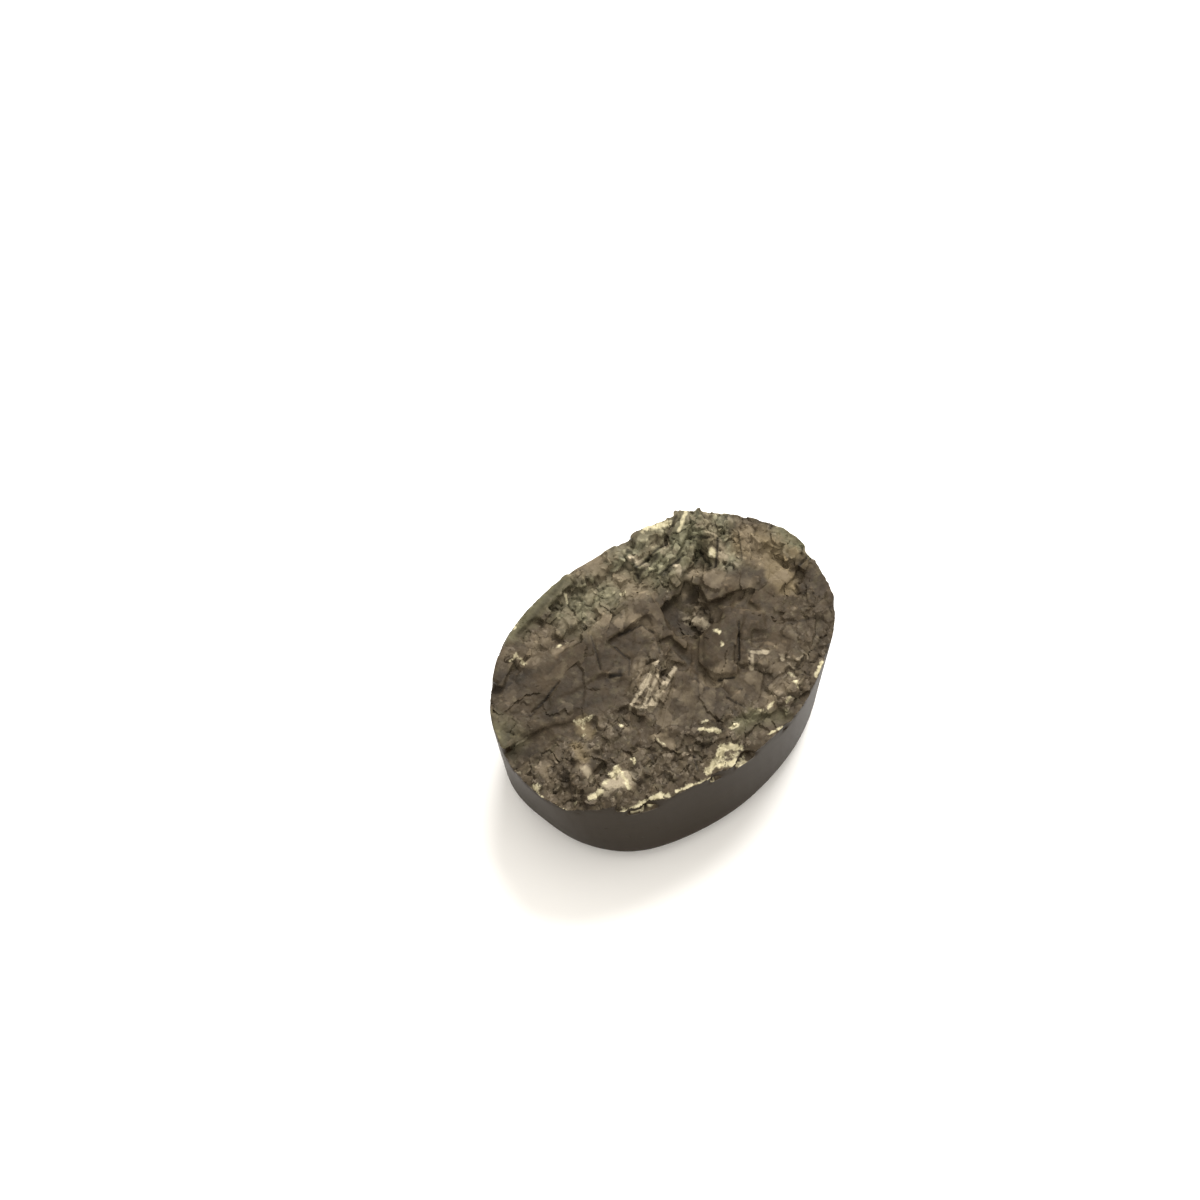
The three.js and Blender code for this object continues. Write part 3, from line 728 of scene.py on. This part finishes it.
# Seams are scored into the face as thin grooves
def scoreSeams(stone):
    places = placesOf(stone)
    scored = zoneStrength(places, faceZones["seams"], stoneForm["seamEdge"])
    places[:, 2] -= stoneForm["seamDepth"] * scored
    putPlaces(stone, places)


# The face is broken into facets in three sizes, small ones mostly where crystals crowd
def breakFace(stone, outline):
    places = placesOf(stone)
    natural = (1 - groundShare(stone, outline)) * faceShare(places, outline)
    markAttribute(stone, "slabs", natural * (1 - zoneStrength(places, faceZones["evened"])))
    loose = stoneForm["looseGrain"]
    crowding = zoneStrength(places, faceZones["grains"])
    markAttribute(stone, "grains", natural * (loose + (1 - loose) * crowding))
    group, mesh = meshGroup("brokenFace")
    for layer in fractures:
        mesh = fractureLayer(group, mesh, layer)
    addNode(group, "NodeGroupOutput", links={0: mesh})
    applyModifier(stone, "NODES", node_group=group)


# The ground side and base are made even, with the flat spot on the table, and need fewer faces
def smoothGround(stone, outline):
    markGroup(stone, "ground", groundShare(stone, outline))
    evenly = {"factor": groundForm["smoothFactor"], "iterations": groundForm["smoothSteps"]}
    applyModifier(stone, "SMOOTH", vertex_group="ground", **evenly)
    places = placesOf(stone)
    places[:, 2] = np.maximum(places[:, 2], 0)
    putPlaces(stone, places)
    share = stoneForm["mostFaces"] / (2 * len(stone.data.polygons))  # each face counts as two triangles
    applyModifier(stone, "DECIMATE", ratio=share, vertex_group="ground", vertex_group_factor=1)
    stone.vertex_groups.clear()


# How far each corner lies above or below its surroundings, in mm; the steps say how far those reach,
# and corners that don't count are left out of them
def heightOver(thing, steps, counts=None):
    places = placesOf(thing).astype(float)
    first, second = edgeEnds(thing)
    if counts is not None:
        inside = counts[first] & counts[second]
        first, second = first[inside], second[inside]
    count = len(places)
    near = np.bincount(first, minlength=count) + np.bincount(second, minlength=count)
    near = np.maximum(near, 1)
    even = places[:, 2].copy()
    for _ in range(steps):
        total = np.bincount(first, even[second], count) + np.bincount(second, even[first], count)
        even = np.where(total > 0, 0.5 * even + 0.5 * total / near, even)
    return places[:, 2] - even


# What the finish reads from the mesh
def markColours(stone, outline):
    places = placesOf(stone)
    natural = 1 - groundShare(stone, outline)
    markAttribute(stone, "natural", natural)
    # relief, how far each corner lies above or below its surroundings, drives the painted shade in the
    # hollows
    markAttribute(stone, "relief", heightOver(stone, stoneForm["reliefSteps"]))
    for zone in colourZones:
        strength = zoneStrength(places, faceZones[zone], stoneForm["colourEdge"])
        markAttribute(stone, zone, strength * natural)


# A copy of the solid's mesh, with even faces
def solidForm():
    stone = copyOf(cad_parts["pyrite_stone"])
    stone.name = "pyriteStone"
    bpy.ops.object.mode_set(mode="EDIT")
    bpy.ops.mesh.select_all(action="SELECT")
    bpy.ops.mesh.remove_doubles(threshold=stoneForm["mergeWithin"] * mm)
    bpy.ops.object.mode_set(mode="OBJECT")
    print("stone: copied and merged", len(stone.data.vertices), "corners")
    applyModifier(stone, "REMESH", mode="VOXEL", voxel_size=stoneForm["firstVoxel"] * mm)
    return stone


# Small crystals are strewn over the face and fused with it
def growGrains(stone, outline):
    grains = copyOf(stone)
    places = placesOf(grains)
    inside = (radialShare(places, outline) < stoneForm["grainReach"]) * (1 - groundShare(grains, outline))
    markAttribute(grains, "grains", zoneStrength(places, faceZones["grains"]) * inside)
    grain = makeGrain()
    strewGrains(grains, grain)
    bpy.data.objects.remove(grain)
    print("stone: grains strewn", len(grains.data.polygons), "faces")
    pickOnly(stone)
    grains.select_set(True)
    bpy.ops.object.join()
    applyModifier(stone, "REMESH", mode="VOXEL", voxel_size=stoneForm["voxel"] * mm)
    print("stone: grains fused", len(stone.data.polygons), "faces")


def makeStone():
    stone = solidForm()
    outline = rimOutline(stone)
    fillCracks(stone, outline)
    buryFace(stone, outline)
    growGrains(stone, outline)
    trimToRim(stone, outline)
    scoreSeams(stone)
    breakFace(stone, outline)
    trimToRim(stone, outline)
    smoothGround(stone, outline)
    markColours(stone, outline)
    pickOnly(stone)
    bpy.ops.object.shade_smooth_by_angle(angle=math.radians(stoneForm["sharpFrom"]))
    print("stone: finished form", len(stone.data.polygons), "faces")
    return stone


# Tarnished pyrite: a brittle metallic sulphide under a brown film, so broken facets keep only a weak sheen;
# the ground side is worked to an even satin that shows darker

finish = {
    "brownDark": "#292219",
    "brownLight": "#403629",
    "grainDark": "#28221a",
    "grainLight": "#625746",
    "crystalDark": "#1d1b14",
    "crystalLight": "#928c74",
    "speck": "#877b6a",
    "lace": "#8a7f6b",
    "cream": "#bcb49d",
    "creamYellow": "#93885c",
    "ochre": "#635742",
    "moss": "#57553f",
    # painted shade
    "shade": "#1d1812",
    # partly painted light where the face stands up, partly less tarnish
    "pale": "#6d614f",
    # the seams' dark, partly painted shadow under step edges
    "seams": "#100d0a",
    "groundDark": "#1e170d",
    "groundLight": "#271e12",
    # painted shade in the hollows, also the dark lines between crystals
    "hollow": "#15110d",
}

# Where a stain or painted shade starts and ends on its zone plus a chance of 0 to 1, how much of its colour
# it brings, and whether it takes whole crystals; shade is painted shade, and pale is partly painted light
stainsAndShading = {
    "moss": (0.5, 1.3, 0.6, False),
    "ochre": (0.6, 1.15, 0.9, False),
    # painted shade over sunk and shaded places
    "shade": (0.6, 1.3, 0.7, False),
    # partly painted light where the face stands up, partly less tarnish
    "pale": (0.6, 1.25, 0.75, True),
    "lace": (0.9, 1.3, 0.9, True),
}

# How rough and how shiny the surface is, and how much each pattern counts
surface = {
    "groundRough": 0.5,
    "faceRough": 0.6,
    "metal": 0.05,
    "sheen": 0.1,
    "facetWidth": 0.18,  # mm
    "facetTilt": 11,  # degrees
    "facetWarp": 0.4,  # cells
    "mottleTone": 1.1,
    "slabTone": 0.35,
    "crystalTone": 0.6,
    "grainTone": 0.25,
    "facetTone": 0.25,
    "darker": 0.05,  # taken off the crystals' tone
    "speckled": 0.8,  # how much of the brown the crowded crystals hide
    "crumbs": (2.2, -0.75),  # how ragged the crust is, and how far that holds it back
    "crustGrain": 0.35,  # how much the crust keeps to whole grains
    "gritHeight": 0.03,  # mm
    "fanHeight": 0.06,
    "fanTurn": 40,  # degrees
    "bump": 0.8,
}


# What the mesh carries for the finish, by name
def readMarks(tree):
    names = ["natural", "relief", "crystalEdge", *colourZones, *(layer["name"] for layer in fractures)]
    return {name: addNode(tree, "ShaderNodeAttribute", {"attribute_name": name}) for name in names}


def tarnishedPyrite():
    material = bpy.data.materials.new("tarnishedPyrite")
    material.use_nodes = True
    tree = material.node_tree
    tree.nodes.clear()
    colour = {name: toLinear(value) for name, value in finish.items()}
    coords = addNode(tree, "ShaderNodeTexCoord")
    inMm = addNode(tree, "ShaderNodeMapping", {"Scale": (1 / mm,) * 3}, {"Vector": coords.outputs["Object"]})
    marks = readMarks(tree)
    facets, facetTone = fineFacets(tree, inMm)
    face = brownFace(tree, inMm, marks, colour, facetTone)
    face = filmsAndShading(tree, inMm, marks, colour, face)
    face = paleCrust(tree, inMm, marks, colour, face)
    face = hollowsAndEdges(tree, marks, colour, face)
    ground = groundSide(tree, inMm, colour)
    whole = addNode(
        tree,
        "ShaderNodeMix",
        {"data_type": "RGBA"},
        {0: marks["natural"].outputs["Fac"], 6: ground, 7: face},
    )
    rough = addNode(
        tree,
        "ShaderNodeMapRange",
        {"To Min": surface["groundRough"], "To Max": surface["faceRough"]},
        {"Value": marks["natural"].outputs["Fac"]},
    )
    shader = addNode(
        tree,
        "ShaderNodeBsdfPrincipled",
        {"Metallic": surface["metal"], "Specular IOR Level": surface["sheen"]},
        {
            "Base Color": whole.outputs[2],
            "Roughness": rough,
            "Normal": surfaceGrit(tree, inMm, marks, facets),
        },
    )
    addNode(tree, "ShaderNodeOutputMaterial", links={"Surface": shader})
    return material


# The smallest facets: their height in mm and the chance tone of each
def fineFacets(tree, inMm):
    width, slope = surface["facetWidth"], math.tan(math.radians(surface["facetTilt"]))
    cells = addNode(tree, "ShaderNodeMapping", {"Scale": (1 / width,) * 3}, {"Vector": inMm})
    pattern = {"distance": "CHEBYCHEV", "Scale": 1}
    steepest = (2 * slope * width,) * 3
    broken, height = slopingCells(tree, cells, pattern, 1, surface["facetWarp"], steepest)[1:]
    chance = addNode(tree, "ShaderNodeSeparateXYZ", links={0: broken.outputs["Color"]})
    return height, chance.outputs[1]


# The brown face, speckled where crystals crowd
def brownFace(tree, inMm, marks, colour, facetTone):
    brown = slabBrown(tree, inMm, marks, colour)
    mixedChance = crystalTones(tree, marks, facetTone)
    speckle = addNode(
        tree,
        "ShaderNodeMix",
        {"data_type": "RGBA", 6: colour["grainDark"], 7: colour["grainLight"]},
        {0: mixedChance},
    )
    speckShare = addNode(
        tree,
        "ShaderNodeMapRange",
        {"From Min": 0.82, "From Max": 0.92, "To Max": 0.7},
        {"Value": facetTone},
    )
    specked = addNode(
        tree,
        "ShaderNodeMix",
        {"data_type": "RGBA", 7: colour["speck"]},
        {0: speckShare, 6: speckle.outputs[2]},
    )
    crowding = addNode(
        tree,
        "ShaderNodeMath",
        {"operation": "MULTIPLY", 1: surface["speckled"]},
        {0: marks["grains"].outputs["Fac"]},
    )
    both = addNode(
        tree,
        "ShaderNodeMix",
        {"data_type": "RGBA"},
        {0: crowding, 6: brown.outputs[2], 7: specked.outputs[2]},
    )
    return greenCrystals(tree, marks, colour, both.outputs[2], mixedChance)


# Mottled brown, a little different on each slab
def slabBrown(tree, inMm, marks, colour):
    cloud = addNode(tree, "ShaderNodeTexNoise", {"Scale": 0.9, "Detail": 6}, {"Vector": inMm})
    slabChance = addNode(tree, "ShaderNodeSeparateXYZ", links={0: marks["slab"].outputs["Vector"]})
    mottle = addNode(
        tree, "ShaderNodeTexNoise", {"Scale": 2.8, "Detail": 6, "Roughness": 0.6}, {"Vector": inMm}
    )
    clouded = addNode(
        tree,
        "ShaderNodeMath",
        {"operation": "MULTIPLY_ADD", 1: surface["mottleTone"]},
        {0: mottle.outputs["Fac"], 2: cloud.outputs["Fac"]},
    )
    tone = addNode(
        tree,
        "ShaderNodeMath",
        {"operation": "MULTIPLY_ADD", 1: surface["slabTone"]},
        {0: slabChance, 2: clouded},
    )
    toneShare = addNode(tree, "ShaderNodeMapRange", {"From Min": 0.85, "From Max": 1.6}, {"Value": tone})
    return addNode(
        tree,
        "ShaderNodeMix",
        {"data_type": "RGBA", 6: colour["brownDark"], 7: colour["brownLight"]},
        {0: toneShare},
    )


# A tone of 0 to 1 for each crystal, with a little of its own on each grain and each smallest facet
def crystalTones(tree, marks, facetTone):
    crystalChance = addNode(tree, "ShaderNodeSeparateXYZ", links={0: marks["crystal"].outputs["Vector"]})
    grainChance = addNode(tree, "ShaderNodeSeparateXYZ", links={0: marks["grain"].outputs["Vector"]})
    fineTone = addNode(
        tree,
        "ShaderNodeMath",
        {"operation": "MULTIPLY_ADD", 1: surface["facetTone"], 2: -surface["darker"]},
        {0: facetTone},
    )
    grainTone = addNode(
        tree,
        "ShaderNodeMath",
        {"operation": "MULTIPLY_ADD", 1: surface["grainTone"]},
        {0: grainChance.outputs[1], 2: fineTone},
    )
    return addNode(
        tree,
        "ShaderNodeMath",
        {"operation": "MULTIPLY_ADD", 1: surface["crystalTone"]},
        {0: crystalChance, 2: grainTone},
    )


# Grey-green crystals of mixed tone, each edged with a dark line
def greenCrystals(tree, marks, colour, under, mixedChance):
    green = addNode(
        tree,
        "ShaderNodeMix",
        {"data_type": "RGBA", 6: colour["crystalDark"], 7: colour["crystalLight"]},
        {0: mixedChance},
    )
    greened = addNode(
        tree,
        "ShaderNodeMix",
        {"data_type": "RGBA"},
        {0: marks["crystals"].outputs["Fac"], 6: under, 7: green.outputs[2]},
    )
    nearEdge = addNode(
        tree,
        "ShaderNodeMapRange",
        {"From Min": 0.16, "From Max": 0.02, "To Max": 0.8},
        {"Value": marks["crystalEdge"].outputs["Fac"]},
    )
    crowded = addNode(
        tree,
        "ShaderNodeMix",
        {"data_type": "FLOAT", 0: 0.4},
        {2: marks["grains"].outputs["Fac"], 3: marks["crystals"].outputs["Fac"]},
    )
    lineShare = addNode(tree, "ShaderNodeMath", {"operation": "MULTIPLY"}, {0: nearEdge, 1: crowded})
    lined = addNode(
        tree,
        "ShaderNodeMix",
        {"data_type": "RGBA", 7: colour["hollow"]},
        {0: lineShare, 6: greened.outputs[2]},
    )
    return lined.outputs[2]


# Greenish, tan and greyish films with ragged edges, with painted shade over the shade zone and partly
# painted light over the pale zone
def filmsAndShading(tree, inMm, marks, colour, under):
    patchy = addNode(tree, "ShaderNodeTexNoise", {"Scale": 2.6, "Detail": 7}, {"Vector": inMm})
    crystalChance = addNode(tree, "ShaderNodeSeparateXYZ", links={0: marks["crystal"].outputs["Vector"]})
    blocky = addNode(
        tree,
        "ShaderNodeMix",
        {"data_type": "FLOAT", 0: 0.5},
        {2: patchy.outputs["Fac"], 3: crystalChance.outputs[1]},
    )
    for zone, (start, end, reach, whole) in stainsAndShading.items():
        summed = addNode(
            tree,
            "ShaderNodeMath",
            {"operation": "ADD"},
            {0: marks[zone].outputs["Fac"], 1: blocky if whole else patchy.outputs["Fac"]},
        )
        share = addNode(
            tree,
            "ShaderNodeMapRange",
            {"From Min": start, "From Max": end, "To Max": reach},
            {"Value": summed},
        )
        under = addNode(
            tree, "ShaderNodeMix", {"data_type": "RGBA", 7: colour[zone]}, {0: share, 6: under}
        ).outputs[2]
    return under


# The pale crust takes whole crystals, so its edge is broken
def paleCrust(tree, inMm, marks, colour, under):
    chance = addNode(tree, "ShaderNodeSeparateXYZ", links={0: marks["grain"].outputs["Vector"]})
    crumbs = addNode(
        tree, "ShaderNodeTexNoise", {"Scale": 3.5, "Detail": 7, "Roughness": 0.65}, {"Vector": inMm}
    )
    ragged, heldBack = surface["crumbs"]
    jitter = addNode(
        tree,
        "ShaderNodeMath",
        {"operation": "MULTIPLY_ADD", 1: ragged, 2: heldBack},
        {0: crumbs.outputs["Fac"]},
    )
    whole = addNode(
        tree,
        "ShaderNodeMath",
        {"operation": "MULTIPLY_ADD", 1: surface["crustGrain"]},
        {0: chance, 2: jitter},
    )
    summed = addNode(
        tree, "ShaderNodeMath", {"operation": "ADD"}, {0: marks["cream"].outputs["Fac"], 1: whole}
    )
    share = addNode(
        tree, "ShaderNodeMapRange", {"From Min": 1.0, "From Max": 1.42, "To Max": 0.9}, {"Value": summed}
    )
    crust = addNode(
        tree,
        "ShaderNodeMix",
        {"data_type": "RGBA", 6: colour["creamYellow"], 7: colour["cream"]},
        {0: crumbs.outputs["Fac"]},
    )
    pale = addNode(tree, "ShaderNodeMix", {"data_type": "RGBA"}, {0: share, 6: under, 7: crust.outputs[2]})
    return pale.outputs[2]


# Painted shade darkens the hollows, the seams get dark lines that are partly painted shadow under step
# edges, and a painted highlight lightens the edges
def hollowsAndEdges(tree, marks, colour, under):
    # painted shade: the lower a corner lies below its surroundings, the more hollow colour it takes
    sunk = addNode(
        tree,
        "ShaderNodeMapRange",
        {"From Min": -0.04, "From Max": -0.32, "To Min": 0, "To Max": 0.42},
        {"Value": marks["relief"].outputs["Fac"]},
    )
    dark = addNode(tree, "ShaderNodeMix", {"data_type": "RGBA", 7: colour["hollow"]}, {0: sunk, 6: under})
    # the seams' dark lines: partly their own dark, partly painted shadow under step edges
    seamShare = addNode(
        tree,
        "ShaderNodeMapRange",
        {"From Min": 0.3, "From Max": 1.0, "To Max": 0.85},
        {"Value": marks["seams"].outputs["Fac"]},
    )
    seamed = addNode(
        tree, "ShaderNodeMix", {"data_type": "RGBA", 7: colour["seams"]}, {0: seamShare, 6: dark.outputs[2]}
    )
    # painted highlight: sharp convex edges are brightened by their pointiness
    shape = addNode(tree, "ShaderNodeNewGeometry")
    edgeHighlight = addNode(
        tree,
        "ShaderNodeMapRange",
        {"From Min": 0.52, "From Max": 0.64, "To Min": 1.0, "To Max": 1.6},
        {"Value": shape.outputs["Pointiness"]},
    )
    return addNode(
        tree, "ShaderNodeVectorMath", {"operation": "SCALE"}, {0: seamed.outputs[2], "Scale": edgeHighlight}
    )


# The ground side: even and dark, with faint turning marks that run round the stone
def groundSide(tree, inMm, colour):
    stretched = addNode(tree, "ShaderNodeMapping", {"Scale": (0.35, 0.35, 5)}, {"Vector": inMm})
    turningMarks = addNode(tree, "ShaderNodeTexNoise", {"Scale": 1, "Detail": 4}, {"Vector": stretched})
    side = addNode(
        tree,
        "ShaderNodeMix",
        {"data_type": "RGBA", 6: colour["groundDark"], 7: colour["groundLight"]},
        {0: turningMarks.outputs["Fac"]},
    )
    return side.outputs[2]


# Fine grit on the face, and the straight lines of the fan
def surfaceGrit(tree, inMm, marks, facets):
    grit = addNode(tree, "ShaderNodeTexNoise", {"Scale": 6, "Detail": 5}, {"Vector": inMm})
    crumbled = addNode(
        tree,
        "ShaderNodeMapRange",
        {"To Min": 0.2, "To Max": 1.0},
        {"Value": marks["grains"].outputs["Fac"]},
    )
    faceted = addNode(tree, "ShaderNodeMath", {"operation": "MULTIPLY"}, {0: facets, 1: crumbled})
    gritted = addNode(
        tree,
        "ShaderNodeMath",
        {"operation": "MULTIPLY_ADD", 1: surface["gritHeight"]},
        {0: grit.outputs["Fac"], 2: faceted},
    )
    alongFan = {"Rotation": (0, 0, math.radians(surface["fanTurn"])), "Scale": (3.0, 0.12, 1.0)}
    turned = addNode(tree, "ShaderNodeMapping", {"vector_type": "TEXTURE"} | alongFan, {"Vector": inMm})
    lines = addNode(tree, "ShaderNodeTexNoise", {"Scale": 1, "Detail": 3}, {"Vector": turned})
    fanned = addNode(
        tree,
        "ShaderNodeMath",
        {"operation": "MULTIPLY"},
        {0: lines.outputs["Fac"], 1: marks["fan"].outputs["Fac"]},
    )
    both = addNode(
        tree,
        "ShaderNodeMath",
        {"operation": "MULTIPLY_ADD", 1: surface["fanHeight"]},
        {0: fanned, 2: gritted},
    )
    height = addNode(
        tree, "ShaderNodeMath", {"operation": "MULTIPLY"}, {0: both, 1: marks["natural"].outputs["Fac"]}
    )
    return addNode(
        tree, "ShaderNodeBump", {"Strength": surface["bump"], "Distance": 1 * mm}, {"Height": height}
    )


# Table and light

tableForm = {"size": 3, "colour": "#f8f6f3", "roughness": 0.8}  # the size is in metres


def makeTable():
    bpy.ops.mesh.primitive_plane_add(size=tableForm["size"])
    table = bpy.context.object
    table.name = "table"
    material = bpy.data.materials.new("whitePaper")
    material.use_nodes = True
    shader = material.node_tree.nodes["Principled BSDF"]
    shader.inputs["Base Color"].default_value = toLinear(tableForm["colour"])
    shader.inputs["Roughness"].default_value = tableForm["roughness"]
    table.data.materials.append(material)


lighting = {
    "sky": ("#fffcf6", 1.25),  # colour and strength
    "lamp": {  # watts and mm; side, back and height are the way to it, seen by the camera
        "power": 2.8,
        "size": 260,
        "distance": 420,
        "side": 0.25,
        "back": 0.8,
        "height": 1.0,
    },
}


def makeLights(right, towards):
    world = bpy.data.worlds.new("paleRoom")
    world.use_nodes = True
    background = world.node_tree.nodes["Background"]
    background.inputs["Color"].default_value = toLinear(lighting["sky"][0])
    background.inputs["Strength"].default_value = lighting["sky"][1]
    bpy.context.scene.world = world
    lamp = lighting["lamp"]
    away = Vector((-towards.x, -towards.y, 0)).normalized()
    course = (right * lamp["side"] + away * lamp["back"] + Vector((0, 0, lamp["height"]))).normalized()
    bpy.ops.object.light_add(type="AREA", location=course * lamp["distance"] * mm)
    light = bpy.context.object
    light.name = "softLamp"
    light.rotation_euler = course.to_track_quat("Z", "Y").to_euler()
    light.data.shape = "DISK"
    light.data.size = lamp["size"] * mm
    light.data.energy = lamp["power"]
    bpy.context.scene.view_settings.view_transform = "Standard"


towards, right = makeCamera(photoView)
makeTable()
makeLights(right, towards)
print("scene: camera, table and light are ready")

stone = makeStone()
stone.data.materials.clear()
stone.data.materials.append(tarnishedPyrite())
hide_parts("pyrite_stone")
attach(stone, "root")
print("stone: finish is on")
